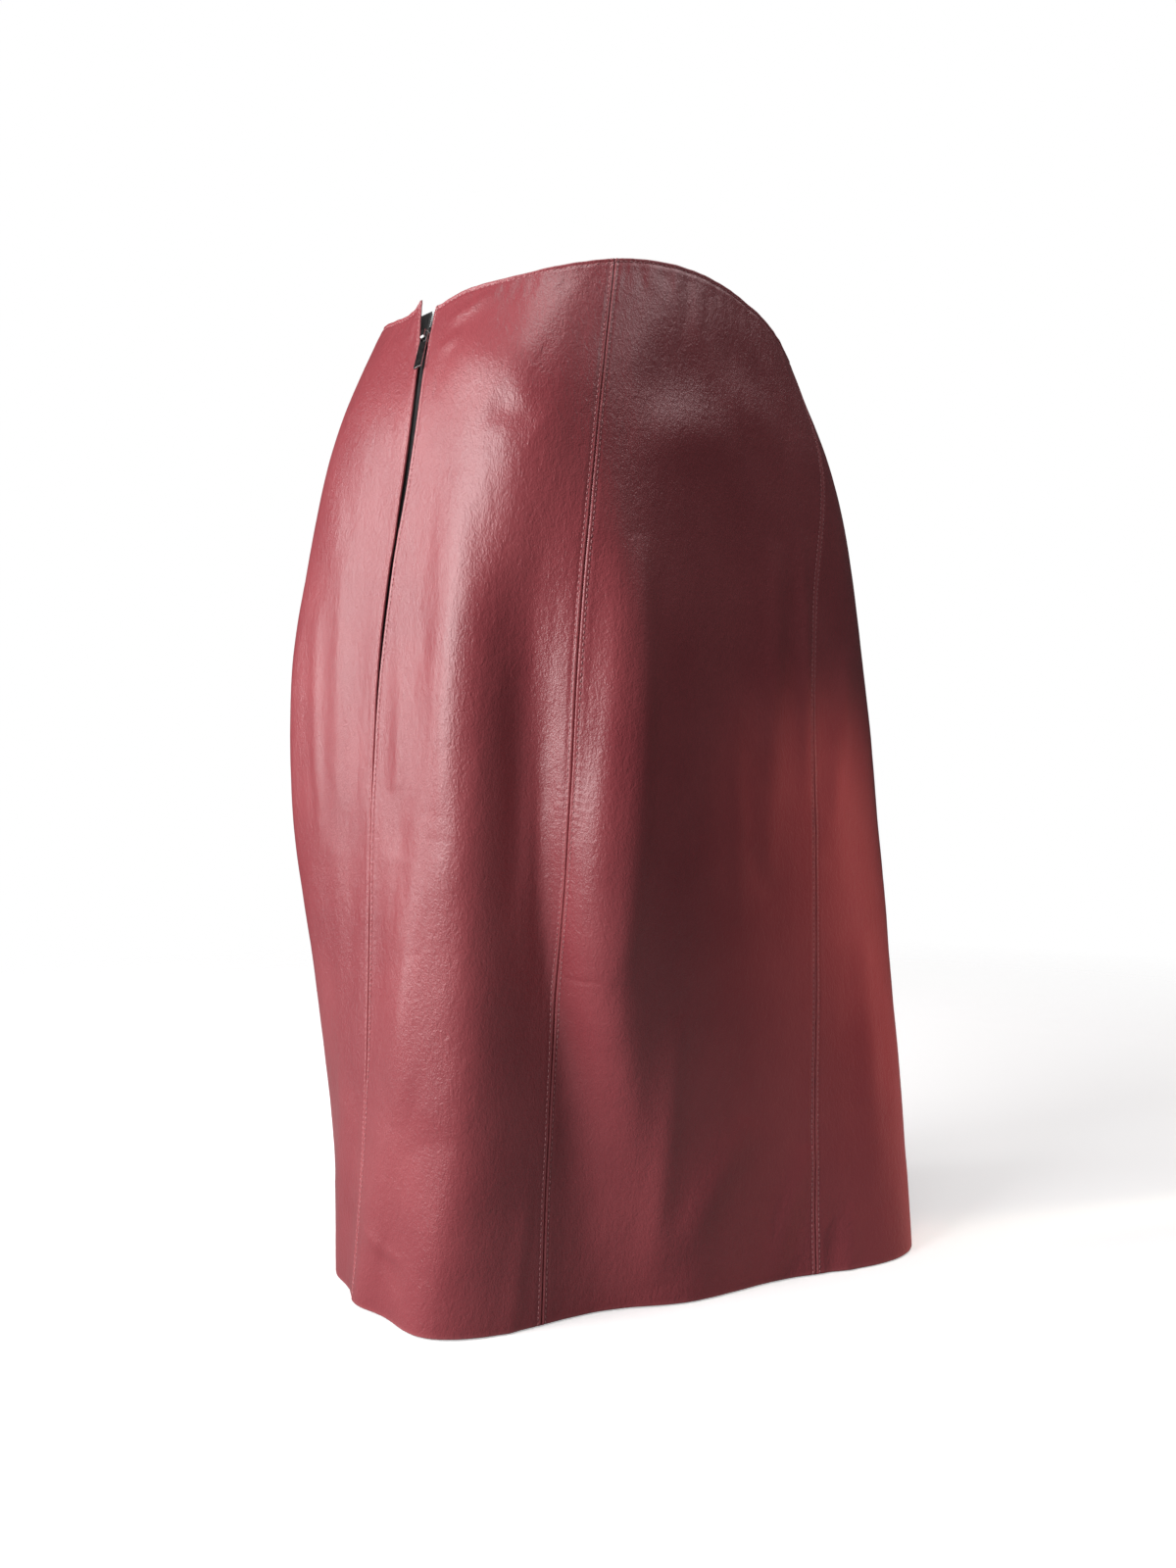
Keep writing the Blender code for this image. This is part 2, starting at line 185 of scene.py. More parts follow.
SEAM_GAP = 0.00008  # between two leather edges that meet in a seam
LIP = 0.0010  # how far in from a seam the leather starts to roll under
EDGE_ROLL = 0.0009  # the same at the hem and the waist, where it is folded over
FLESH = 0.0010  # one layer of leather
TURNED = 0.0015  # two layers of leather pressed together
TURN_FADE = 0.0015  # how gently a turning ends
ROLL_SHARE = 0.45  # how much of the thickness a rolled edge takes from each face
ALLOWANCE, HEM_TURN, WAIST_TURN = 0.011, 0.035, 0.026
MEAN_RADIUS = 0.155  # makes rough metres round the skirt of an angle
FINE, COARSE_ACROSS, COARSE_UP = 0.00030, 0.0019, 0.00115  # the spacing of the leather's mesh
STRIDE = 4  # one row or column inside for so many outside
EVERY = (slice(None, None, STRIDE), slice(None, None, STRIDE))
SMALL_TURN = 1e-4  # how far to look either way for the way round, in radians
HEIGHTS = 64  # how many random heights each way before they repeat

STITCH_PITCH, STITCH_LONG = 0.0030, 0.0023
THREAD_WIDE, THREAD_HIGH = 0.00062, 0.00042
THREAD_LEAN = 0.05  # how far stitches lean from side to side, in radians
STITCH_STATIONS = ((-0.5, 0.45, -0.6), (-0.3, 0.9, 0.15), (0, 1, 0.35), (0.3, 0.9, 0.15), (0.5, 0.45, -0.6))
BAR_SIDES = 6

TOOTH_PITCH = 0.00062
TOOTH_WIDE, TOOTH_HIGH = 0.00062, 0.00075
TOOTH_SHARE = 0.78  # how much of the chain's width a tooth is long
TOOTH_STATIONS = ((-0.5, 0.3, 0), (-0.42, 0.9, 0), (0.3, 0.8, 0), (0.42, 1.25, 0), (0.5, 0.7, 0))
TEETH_APART, TEETH_SPREAD = 0.0005, 0.055  # from the middle, and how that grows above the slider
TEETH_FROM, TEETH_TO = ZIP_FOOT + 0.002, 0.998  # the levels of the first and the last
TEETH_DROP = 0.45  # how deep in the chain's thickness their middles are
TAPE_ROWS, TAPE_COLUMNS = 160, 13
TAPE_RIB, TAPE_RIBS = 0.00005, 6
TAPE_DROP = 0.0003  # how far behind the leather the tape is
TAPE_SHARE = 0.7  # how much of its solid's thickness the tape has
TAPE_FROM = CHAIN_WIDE * 0.3  # how far from the middle it starts to show behind the teeth
TAPE_REACH = CHAIN_WIDE * 0.2 + GAP + TAPE_WIDE

LIP_OUT, LIP_RISE, LIP_WIDE = 0.0030, 0.0050, 0.009  # how the zip's front edge curls at the waist
LIP_OUT_FROM, LIP_RISE_FROM = 0.93, 0.955  # the levels where it starts to

# What is pressed into the face along an edge: how far in from it, how wide, how far out, and whether it is
# deeper at each stitch. Beside a seam, how far in is a share of the stitches' distance.
Bead = namedtuple("Bead", "at wide out dips")
SEAM_BEADS = (
    Bead(0.5, 0.0005, 0.00030, False),
    Bead(1.0, 0.0005, -0.00022, True),
    Bead(1.9, 0.0010, 0.00012, False),
)
WAIST_STITCHED = 0.0026
WAIST_BEADS = (
    Bead(0.0010, 0.0006, 0.00038, False),
    Bead(WAIST_STITCHED, 0.0005, -0.00026, True),
    Bead(0.0045, 0.0011, 0.00015, False),
)
STITCH_DIP = 0.35  # how much deeper the groove is at each stitch, as a share
ALLOWANCE_OUT, ALLOWANCE_FADE = 0.00010, 0.001  # how the pressed allowance shows through

# Where the leather is rubbed: at a share of the stitches' distance from a seam, and by the hem and the waist.
SEAM_RUB_AT, SEAM_RUB_WIDE = 0.45, 0.0005
HEM_RUB_WIDE = 0.0012
WAIST_RUB_AT, WAIST_RUB_WIDE = 0.0008, 0.0008

# The face's own hills and hollows: how far out, how large, how much of the way up counts, which draws them
# out upwards, and their seed.
Unevenness = namedtuple("Unevenness", "out size up_share seed")
UNEVENNESS = (
    Unevenness(0.00045, 0.026, 0.5, 11),
    Unevenness(0.00016, 0.010, 0.5, 12),
    Unevenness(0.00006, 0.0045, 0.4, 13),
)
WAIST_GATHERS = Unevenness(0.00035, 0.0055, 0.3, 14)
WAIST_GATHERS_AT, WAIST_GATHERS_WIDE = 0.010, 0.008  # below the waist edge

# How far from a seam its topstitching runs.
STITCHED = {
    "left_side": 0.0017,
    "back_left": 0.0022,
    "back_right": 0.0022,
    "right_side": 0.0017,
    "front_right": 0.0022,
    "front_left": 0.0022,
}

FOLD_ENDS = 0.8  # how bluntly a soft fold ends

# Soft folds that only the face shows: where each starts and ends, as an angle and a level, how far its middle
# bows to the right of the line between them, how wide it is, how far it stands out, and how soft it is: 2 is
# round, 1 a crease.
Fold = namedtuple("Fold", "angle level end_angle end_level bow width out soft")
FOLDS = (
    # the side and the back left side
    Fold(21, 0.82, 22, 0.48, -0.003, 0.008, 0.0022, 2),
    Fold(21, 0.50, 19, 0.20, 0.002, 0.010, 0.0020, 2),
    Fold(4, 0.70, 7, 0.45, 0.000, 0.005, 0.0009, 2),
    Fold(7, 0.53, 8, 0.46, 0.001, 0.005, -0.0010, 2),
    Fold(12, 0.36, 33, 0.19, 0.004, 0.012, 0.0016, 2),
    Fold(8, 0.968, 26, 0.988, 0.001, 0.0030, 0.0012, 2),
    Fold(8, 0.940, 17, 0.950, 0.000, 0.0028, 0.0008, 2),
    Fold(45, 0.70, 46, 0.36, 0.002, 0.0035, 0.0011, 2),
    Fold(39, 0.64, 42, 0.40, -0.002, 0.004, -0.0006, 2),
    Fold(54, 0.16, 58, -0.06, 0.000, 0.003, 0.0009, 2),
    Fold(9, 0.085, 33, 0.065, 0.002, 0.003, 0.0007, 2),
    Fold(20, 0.08, 33, 0.03, 0.001, 0.004, -0.0008, 2),
    Fold(29, 0.875, 41, 0.850, -0.002, 0.005, -0.0012, 2),
    Fold(14, 0.93, 40, 0.91, -0.003, 0.010, 0.0014, 2),
    Fold(-19, 0.78, -17, 0.50, 0.001, 0.006, 0.0014, 2),
    Fold(-29, 0.72, -25, 0.46, 0.001, 0.004, 0.0008, 2),
    Fold(-12, 0.50, -16, 0.20, 0.002, 0.008, -0.0012, 2),
    # the back
    Fold(60, 0.76, 63, 0.34, 0.000, 0.0065, 0.0036, 2),
    Fold(53.5, 0.76, 51.5, 0.32, 0.000, 0.008, -0.0026, 2),
    Fold(60, 0.885, 109, 0.925, -0.010, 0.013, -0.0022, 2),
    Fold(58, 0.840, 91, 0.850, -0.008, 0.011, 0.0018, 2),
    Fold(74, 0.955, 107, 0.885, 0.006, 0.012, 0.0016, 2),
    Fold(86, 0.62, 89, 0.38, 0.002, 0.005, 0.0016, 2),
    Fold(102, 0.78, 95, 0.40, 0.003, 0.008, 0.0030, 2),
    Fold(92, 0.46, 99, 0.40, 0.003, 0.006, -0.0014, 2),
    Fold(111, 0.80, 107, 0.50, 0.000, 0.005, 0.0020, 2),
    Fold(75, 0.30, 81, 0.02, 0.002, 0.006, 0.0022, 2),
    Fold(96, 0.18, 83, 0.04, 0.003, 0.009, 0.0022, 2),
    Fold(111, 0.14, 107, 0.00, 0.002, 0.006, 0.0022, 2),
    Fold(53.5, 0.345, 60, 0.343, 0.001, 0.0007, -0.0004, 1.5),
    # the right panel and the right side
    Fold(125, 0.68, 113, 0.44, 0.003, 0.008, 0.0026, 2),
    Fold(122, 0.36, 126, 0.06, 0.002, 0.008, 0.0020, 2),
    Fold(117, 0.07, 118, -0.03, 0.000, 0.0035, -0.0010, 2),
    Fold(120.5, 0.07, 121, -0.03, 0.000, 0.0035, 0.0010, 2),
    Fold(150, 0.72, 146, 0.30, 0.004, 0.010, 0.0024, 2),
    Fold(165, 0.60, 168, 0.16, -0.003, 0.012, -0.0024, 2),
    # the front
    Fold(196, 0.80, 200, 0.38, 0.003, 0.010, 0.0022, 2),
    Fold(214, 0.42, 208, 0.10, 0.002, 0.012, -0.0020, 2),
    Fold(248, 0.86, 292, 0.90, 0.008, 0.012, -0.0018, 2),
    Fold(252, 0.81, 280, 0.79, 0.006, 0.010, 0.0015, 2),
    Fold(262, 0.70, 258, 0.34, 0.004, 0.012, 0.0022, 2),
    Fold(281, 0.52, 284, 0.12, -0.004, 0.014, 0.0026, 2),
    Fold(250, 0.28, 266, 0.04, 0.003, 0.010, -0.0022, 2),
    Fold(322, 0.74, 318, 0.36, 0.003, 0.010, 0.0022, 2),
    Fold(338, 0.46, 334, 0.10, 0.002, 0.011, -0.0018, 2),
)

# Short waves beside a seam, on its side -1 or 1 and between two levels: how far in they reach, how far apart
# they are, and how far they stand out.
Pucker = namedtuple("Pucker", "seam side low high reach pitch out")
PUCKERS = (
    Pucker("back_left", 1, 0.36, 0.66, 0.010, 0.0038, 0.00013),
    Pucker("back_left", -1, 0.20, 0.62, 0.007, 0.0042, 0.00012),
    Pucker("left_side", 1, 0.10, 0.50, 0.007, 0.0044, 0.00010),
    Pucker("left_side", -1, 0.12, 0.50, 0.007, 0.0046, 0.00010),
    Pucker("back_right", 1, 0.05, 0.40, 0.008, 0.0050, 0.00012),
    Pucker("back_right", -1, 0.30, 0.80, 0.006, 0.0046, 0.00008),
    Pucker("right_side", 1, 0.20, 0.70, 0.008, 0.0046, 0.00014),
    Pucker("right_side", -1, 0.30, 0.60, 0.007, 0.0042, 0.00010),
    Pucker("front_right", 1, 0.10, 0.55, 0.010, 0.0041, 0.00016),
    Pucker("front_right", -1, 0.40, 0.75, 0.007, 0.0045, 0.00010),
    Pucker("front_left", 1, 0.35, 0.70, 0.010, 0.0039, 0.00015),
    Pucker("front_left", -1, 0.10, 0.45, 0.008, 0.0044, 0.00012),
)
PUCKER_WANDER = Unevenness(0.0012, 0.011, 1, 5)  # how they stray from even places
PUCKER_FADE = Unevenness(0.4, 0.013, 0, 6)  # how they come and go, as a share of their height
PUCKERS_FROM, PUCKERS_FULL = 0.001, 0.003  # how far from the seam they start and are at their highest
PUCKERS_FADE = 0.6  # how gently they end along the seam


# ---------------------------------------------------------------- the skirt's surface


def spline(stops, values, at):
    """A natural cubic spline through the values at the stops, read at another place or places."""
    stops, values = np.asarray(stops, float), np.asarray(values, float)
    count, step = len(stops), np.diff(stops)
    rows, right = np.eye(count), np.zeros(count)
    for i in range(1, count - 1):
        rows[i, i - 1 : i + 2] = step[i - 1], 2 * (step[i - 1] + step[i]), step[i]
        right[i] = 6 * ((values[i + 1] - values[i]) / step[i] - (values[i] - values[i - 1]) / step[i - 1])
    bend = np.linalg.solve(rows, right)
    i = np.clip(np.searchsorted(stops, at) - 1, 0, count - 2)
    after, before, wide = at - stops[i], stops[i + 1] - at, step[i]
    curve = (bend[i] * before**3 + bend[i + 1] * after**3) / (6 * wide)
    left = (values[i] / wide - bend[i] * wide / 6) * before
    return curve + left + (values[i + 1] / wide - bend[i + 1] * wide / 6) * after


def section_value(column, level):
    return spline([row.level for row in SECTIONS], [getattr(row, column) for row in SECTIONS], level)


def flute(angle, level):
    """How far the hem's flutes push the leather out."""
    total = np.zeros_like(angle)
    for row in FLUTES:
        away = (np.degrees(angle) - row.angle + 180) % 360 - 180
        total += row.out * np.exp(-0.5 * (away / row.spread) ** 2)
    return total * np.maximum(0, 1 - level / FLUTES_END) ** FLUTES_FADE


def long_folds(angle, level):
    """How far the long folds push the leather out."""
    total = np.zeros_like(angle)
    for name in sorted(LONG_FOLDS):
        rows = LONG_FOLDS[name]
        middle, out, before, after = (
            spline([row.level for row in rows], [getattr(row, column) for row in rows], level)
            for column in ("angle", "out", "before", "after")
        )
        away = (np.degrees(angle) - middle + 180) % 360 - 180
        total += out * np.exp(-0.5 * (away / np.where(away < 0, before, after)) ** 2)
    return total


def waist_rise(angle):
    """The height of the waist edge above its height at the zip."""
    stops = [row.angle + round_ * 360 for round_ in (-1, 0, 1) for row in WAIST_RISES]
    return spline(stops, [row.up for row in WAIST_RISES] * 3, np.degrees(angle) % 360)


def skin(angle, level):
    """Points of the smooth outside at angles in radians and levels, which are arrays of one shape."""
    across, along = np.cos(angle), np.sin(angle)
    depth = np.where(along > 0, section_value("back", level), section_value("front", level))
    power = section_value("squareness", level)
    round_off = (np.abs(across) ** power + np.abs(along) ** power) ** (-1 / power)
    push = flute(angle, level) + long_folds(angle, level)
    x = (section_value("half_width", level) * round_off + push) * across
    y = (depth * round_off + push) * along
    turn = np.radians(section_value("turn", level))
    share = np.maximum(0, (level - RISE_FROM) / (1 - RISE_FROM)) ** 2
    return np.stack(
        [
            x * np.cos(turn) - y * np.sin(turn) + section_value("aside", level),
            x * np.sin(turn) + y * np.cos(turn) + section_value("behind", level),
            LENGTH * (level - 1) + share * waist_rise(angle),
        ],
        axis=-1,
    )


def pace(angle, level):
    """How many metres a radian is, going round the skirt."""
    moved = skin(angle + SMALL_TURN, level) - skin(angle - SMALL_TURN, level)
    return np.linalg.norm(moved, axis=-1) / (2 * SMALL_TURN)


def seam_angle(name, level):
    row = next(seam for seam in SEAMS if seam.name == name)
    return np.radians(spline(SEAM_LEVELS, row[1:], level))


def zip_gap(level):
    """How far apart the two leather edges stand over the zip."""
    share = np.maximum(0, (level - ZIP_FOOT) / (1 - ZIP_FOOT))
    return ZIP_OPEN * share**ZIP_OPEN_BEND + ZIP_FLARE * share**ZIP_FLARE_BEND


def edge_angle(seam, level, side):
    """The angle of a panel's edge on one side of a seam: -1 before it, 1 after it."""
    apart = SEAM_GAP + (zip_gap(level) if seam == "left_side" else 0)
    middle = seam_angle(seam, level)
    return middle + side * apart / 2 / pace(middle, level)


def unit(vectors):
    return vectors / np.linalg.norm(vectors, axis=-1, keepdims=True)


def travelled(points, axis):
    """How far along the grid each point lies, in metres, from where that axis starts."""
    steps = np.linalg.norm(np.diff(points, axis=axis), axis=-1)
    return np.concatenate([np.zeros_like(np.take(steps, [0], axis)), np.cumsum(steps, axis=axis)], axis=axis)


def graded(length, fine, coarse, growth=1.22):
    """Shares of a length from 0 to 1, close together at both ends, with a multiple of STRIDE steps."""
    steps = [0.0]
    step = fine
    while sum(steps) < length / 2:
        steps.append(step)
        step = min(step * growth, coarse)
    half = np.cumsum(steps) / sum(steps) / 2
    shares = np.concatenate([half, 1 - half[-2::-1]])
    count = STRIDE * round(len(shares) / STRIDE)
    return np.interp(np.linspace(0, 1, count + 1), np.linspace(0, 1, len(shares)), shares)


def uneven(across, up, size, seed):
    """Soft random hills and hollows between -1 and 1, about size metres across."""
    table = np.random.default_rng(seed).uniform(-1, 1, (HEIGHTS, HEIGHTS))
    x, y = across / size, up / size
    i, j = np.floor(x).astype(int), np.floor(y).astype(int)
    u, v = x - i, y - j
    u, v = u * u * (3 - 2 * u), v * v * (3 - 2 * v)

    def corner(a, b):
        return table[(i + a) % HEIGHTS, (j + b) % HEIGHTS]

    low = corner(0, 0) * (1 - u) + corner(1, 0) * u
    high = corner(0, 1) * (1 - u) + corner(1, 1) * u
    return low * (1 - v) + high * v


def hills(row, across, up):
    """The hills and hollows that one row of unevenness makes."""
    return row.out * uneven(across, up * row.up_share, row.size, row.seed)


def hill(distance, width, soft=2):
    """A smooth rise to 1 where the distance is 0."""
    return np.exp(-0.5 * (np.abs(distance) / width) ** soft)


def step_up(value, low, high):
    """0 below low and 1 above high, with a smooth way between."""
    share = np.clip((value - low) / (high - low), 0, 1)
    return share * share * (3 - 2 * share)


# ---------------------------------------------------------------- what the leather does on that surface


def folds(angle, level):
    """How far the short folds and creases push the leather out."""
    lift = np.zeros_like(angle)
    for row in FOLDS:
        middle = radians(row.angle + row.end_angle) / 2
        reach = pace(np.array(middle), np.array(np.clip((row.level + row.end_level) / 2, 0, 1)))
        turned = (angle - middle + pi) % (2 * pi) - pi + middle
        across = reach * (turned - radians(row.angle))
        up = LENGTH * (level - row.level)
        run = np.array([reach * radians(row.end_angle - row.angle), LENGTH * (row.end_level - row.level)])
        long = np.hypot(*run)
        share = (across * run[0] + up * run[1]) / long**2
        aside = (across * run[1] - up * run[0]) / long
        inside = np.clip(share, 0, 1)
        arch = 4 * inside * (1 - inside)
        lift += row.out * arch**FOLD_ENDS * hill(aside - row.bow * arch, row.width, row.soft)
    return lift


def lip(distance, roll):
    """How far an edge has rolled under, by the distance from it."""
    share = np.clip(1 - distance / roll, 0, 1)
    return 1 - np.sqrt(np.maximum(0, 1 - share**2))


def beads(rows, scale, distance, along):
    """The swellings and the stitched groove beside an edge, by the distance from it and the way along it."""
    scallop = 1 + STITCH_DIP * np.cos(2 * pi * along / STITCH_PITCH)
    lift = np.zeros_like(distance)
    for row in rows:
        lift += row.out * hill(distance - row.at * scale, row.wide) * (scallop if row.dips else 1)
    return lift


def seam_lift(distance, up, stitched):
    """The beads beside a seam and the step where its pressed allowance ends."""
    past = step_up(distance, ALLOWANCE - ALLOWANCE_FADE, ALLOWANCE + ALLOWANCE_FADE)
    return beads(SEAM_BEADS, stitched, distance, up) + ALLOWANCE_OUT * (1 - past)


def puckers(patch):
    """The short waves that the stitching draws up beside the seams."""
    lift = np.zeros_like(patch["angle"])
    for row in PUCKERS:
        if patch["start"] == row.seam and row.side == 1:
            distance = patch["left"]
        elif patch["end"] == row.seam and row.side == -1:
            distance = patch["right"]
        else:
            continue
        up = patch["up"] + hills(PUCKER_WANDER, patch["up"], distance)
        fade = 1 - PUCKER_FADE.out + hills(PUCKER_FADE, up, distance)
        wave = np.sin(2 * pi * up / row.pitch) * fade
        middle, half = (row.low + row.high) / 2, (row.high - row.low) / 2
        here = hill(patch["level"] - middle, half * PUCKERS_FADE)
        reach = np.exp(-((distance / row.reach) ** 2)) * step_up(distance, PUCKERS_FROM, PUCKERS_FULL)
        lift += row.out * wave * here * reach
    return lift


def patch_of(panel):
    """A grid over one panel, with the distance of each point from the panel's edges."""
    level = graded(LENGTH, FINE, COARSE_UP)
    share = graded(panel.cut_width - 2 * ALLOWANCE, FINE, COARSE_ACROSS)
    start = edge_angle(panel.start, level, 1)
    end = edge_angle(panel.end, level, -1)
    end = np.where(end > start, end, end + 2 * pi)
    angle = start[:, None] + (end - start)[:, None] * share[None, :]
    level = np.repeat(level[:, None], len(share), axis=1)
    points = skin(angle, level)
    across = unit(np.gradient(points, axis=1))
    upward = unit(np.gradient(points, axis=0))
    left, up = travelled(points, 1), travelled(points, 0)
    return {
        "start": panel.start,
        "end": panel.end,
        "angle": angle,
        "level": level,
        "points": points,
        "out": unit(np.cross(across, upward)),
        "left": left,
        "right": left[:, -1:] - left,
        "up": up,
        "down": up[-1:] - up,
        "round": angle * MEAN_RADIUS,
    }


def relief(patch):
    """How far the leather's face stands out from the smooth surface."""
    lift = folds(patch["angle"], patch["level"])
    for row in UNEVENNESS:
        lift += hills(row, patch["round"], patch["up"])
    near_waist = hill(patch["down"] - WAIST_GATHERS_AT, WAIST_GATHERS_WIDE)
    lift += near_waist * hills(WAIST_GATHERS, patch["round"], patch["up"])
    lift += seam_lift(patch["left"], patch["up"], STITCHED[patch["start"]])
    lift += seam_lift(patch["right"], patch["up"], STITCHED[patch["end"]])
    lift += beads(WAIST_BEADS, 1, patch["down"], patch["round"])
    lift += puckers(patch)
    if patch["end"] == "left_side":
        lift += LIP_OUT * zip_lip(patch, LIP_OUT_FROM)
    return lift


def zip_lip(patch, start):
    """The curl of the zip's front edge, growing from a level to the waist and fading away from the edge."""
    return step_up(patch["level"], start, 1.0) * np.exp(-patch["right"] / LIP_WIDE)


def rolled(patch):
    """How far the four edges have rolled under, as a share of half the leather's thickness."""
    seams = np.maximum(lip(patch["left"], LIP), lip(patch["right"], LIP))
    folded = np.maximum(lip(patch["up"], EDGE_ROLL), lip(patch["down"], EDGE_ROLL))
    return np.maximum(seams, folded)


def thickness(patch):
    """One layer of leather, and two where it is turned."""
    turned = np.maximum(
        1 - step_up(patch["up"], HEM_TURN - TURN_FADE, HEM_TURN),
        1 - step_up(patch["down"], WAIST_TURN - TURN_FADE, WAIST_TURN),
    )
    pressed = 1 - step_up(np.minimum(patch["left"], patch["right"]), ALLOWANCE - TURN_FADE, ALLOWANCE)
    return FLESH + (TURNED - FLESH) * np.maximum(turned, pressed)


# ---------------------------------------------------------------- meshes


def made_mesh(name, points, faces):
    data = bpy.data.meshes.new(name)
    data.from_pydata(np.asarray(points).reshape(-1, 3).tolist(), [], faces)
    data.shade_smooth()
    made = bpy.data.objects.new(name, data)
    bpy.context.scene.collection.objects.link(made)
    return made


def grid_faces(numbers, flip=False):
    a, b = numbers[:-1, :-1], numbers[:-1, 1:]
    c, d = numbers[1:, 1:], numbers[1:, :-1]
    order = (b, a, d, c) if flip else (a, b, c, d)
    return np.stack(order, axis=-1).reshape(-1, 4)


def border(numbers):
    """The grid's edge as one loop: along the bottom, up, back along the top and down."""
    return np.concatenate([numbers[0, :-1], numbers[:-1, -1], numbers[-1, :0:-1], numbers[:0:-1, 0]])


def rim_faces(fine, coarse, stride):
    """Triangles between a fine loop and a coarse one, with stride fine steps for each coarse one."""
    faces = []
    for j, inner in enumerate(coarse):
        at = [fine[(j * stride + k) % len(fine)] for k in range(stride + 1)]
        faces += [(at[k + 1], at[k], inner) for k in range(stride)]
        faces.append((at[-1], inner, coarse[(j + 1) % len(coarse)]))
    return [tuple(int(i) for i in face) for face in faces]


def closed_shell(name, outside, inside, stride=1):
    """A thin closed skin between two grids. inside keeps one row and column of outside for each stride."""
    outer = np.arange(outside[..., 0].size).reshape(outside.shape[:2])
    inner = outer.size + np.arange(inside[..., 0].size).reshape(inside.shape[:2])
    skin_faces, flesh_faces = grid_faces(outer), grid_faces(inner, flip=True)
    rim = rim_faces(border(outer), border(inner), stride)
    points = np.concatenate([outside.reshape(-1, 3), inside.reshape(-1, 3)])
    made = made_mesh(name, points, skin_faces.tolist() + flesh_faces.tolist() + rim)
    return made, len(skin_faces), len(flesh_faces)


def room_in_hollows(points, out):
    """How far the wide faces of the inside would cut across each hollow, with a little to spare."""
    cut = np.zeros(points.shape[:2])
    between = (points[:, :-2] + points[:, 2:]) / 2
    cut[:, 1:-1] = np.sum((between - points[:, 1:-1]) * out[:, 1:-1], axis=-1)
    # A face between two neighbours cuts a quarter of what one between every second point would.
    return np.maximum(cut, 0) / 3


def rubbed(patch, lift):
    """Where the leather is rubbed paler: on the lips of the seams and on the hem and waist folds."""
    rub = np.zeros_like(lift)
    for distance, seam in ((patch["left"], patch["start"]), (patch["right"], patch["end"])):
        rub = np.maximum(rub, hill(distance - SEAM_RUB_AT * STITCHED[seam], SEAM_RUB_WIDE))
    rub = np.maximum(rub, hill(patch["up"], HEM_RUB_WIDE))
    return np.maximum(rub, hill(patch["down"] - WAIST_RUB_AT, WAIST_RUB_WIDE))


def leather_panel(panel, nappa, suede):
    """One panel as a closed skin: its fine outside, its plainer inside and the rolled edges between."""
    patch = patch_of(panel)
    lift, roll, thick = relief(patch), rolled(patch), thickness(patch)
    if patch["end"] == "left_side":
        tip = LIP_RISE * zip_lip(patch, LIP_RISE_FROM)
        patch["points"] = patch["points"] + tip[..., None] * (0, 0, 1)
    outside = patch["points"] + patch["out"] * (lift - roll * thick * ROLL_SHARE)[..., None]
    inside = (patch["points"] + patch["out"] * (lift - thick + roll * thick * ROLL_SHARE)[..., None])[EVERY]
    inside -= patch["out"][EVERY] * room_in_hollows(inside, patch["out"][EVERY])[..., None]
    made, skin_count, flesh_count = closed_shell("leather_" + panel.name, outside, inside, STRIDE)
    made.data.materials.append(nappa)
    made.data.materials.append(suede)
    # The flesh side is suede, and where the hem and the waist are turned the nappa shows inside too.
    turned = ((patch["up"] < HEM_TURN) | (patch["down"] < WAIST_TURN))[EVERY]
    looks = np.zeros(len(made.data.polygons), np.int32)
    looks[skin_count : skin_count + flesh_count] = ~turned[1:, 1:].reshape(-1)
    made.data.polygons.foreach_set("material_index", looks)
    rub = np.concatenate([rubbed(patch, lift).reshape(-1), np.zeros(turned.size)])
    keep = made.data.attributes.new("rub", "FLOAT", "POINT")
    keep.data.foreach_set("value", rub.astype(np.float32))
    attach(made, "skirt")
    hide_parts(panel.name)
    patch["outside"] = outside
    return patch


# ---------------------------------------------------------------- stitches


def read_along(at, long, values):
    """Points or directions at places along a line, from those at the distances in long."""
    return np.stack([np.interp(at, long, values[:, k]) for k in range(3)], axis=1)


def spaced(line, out, pitch):
    """Points pitch apart along a line of points, which way it runs there and which way is out."""
    long = travelled(line, 0)
    at = np.arange(pitch / 2, long[-1], pitch)
    ahead = read_along(at + pitch / 4, long, line)
    behind = read_along(at - pitch / 4, long, line)
    return read_along(at, long, line), unit(ahead - behind), unit(read_along(at, long, out))


def beside_edge(patch, distance, side):
    """The line on the leather's face that keeps a distance from one edge, and which way is out there."""
    away = patch["left"] if side == 1 else patch["right"][:, ::-1]
    face = patch["outside"] if side == 1 else patch["outside"][:, ::-1]
    out = patch["out"] if side == 1 else patch["out"][:, ::-1]
    rows = range(len(away))
    line = np.array([[np.interp(distance, away[r], face[r, :, k]) for k in range(3)] for r in rows])
    column = np.argmin(np.abs(away[len(away) // 2] - distance))
    return line, out[:, column]


def below_waist(patch, distance):
    """The line on the leather's face a distance below the waist edge, and which way is out there."""
    row = np.argmin(np.abs(patch["down"][:, 0] - distance))
    return patch["outside"][row], patch["out"][row]


def bar(long, wide, high, stations):
    """A rounded bar along X with Z up. Each station is (share of its length, of its thickness, rise)."""
    turns = np.arange(BAR_SIDES) * 2 * pi / BAR_SIDES
    points = [
        (along * long, full * wide / 2 * cos(turn), full * high / 2 * sin(turn) + up * high)
        for along, full, up in stations
        for turn in turns
    ]
    ids = np.arange(len(points)).reshape(len(stations), BAR_SIDES)
    ids = np.concatenate([ids, ids[:, :1]], axis=1)
    faces = grid_faces(ids, flip=True).tolist()
    faces += [ids[0, :-1].tolist(), ids[-1, -2::-1].tolist()]
    return np.array(points), faces


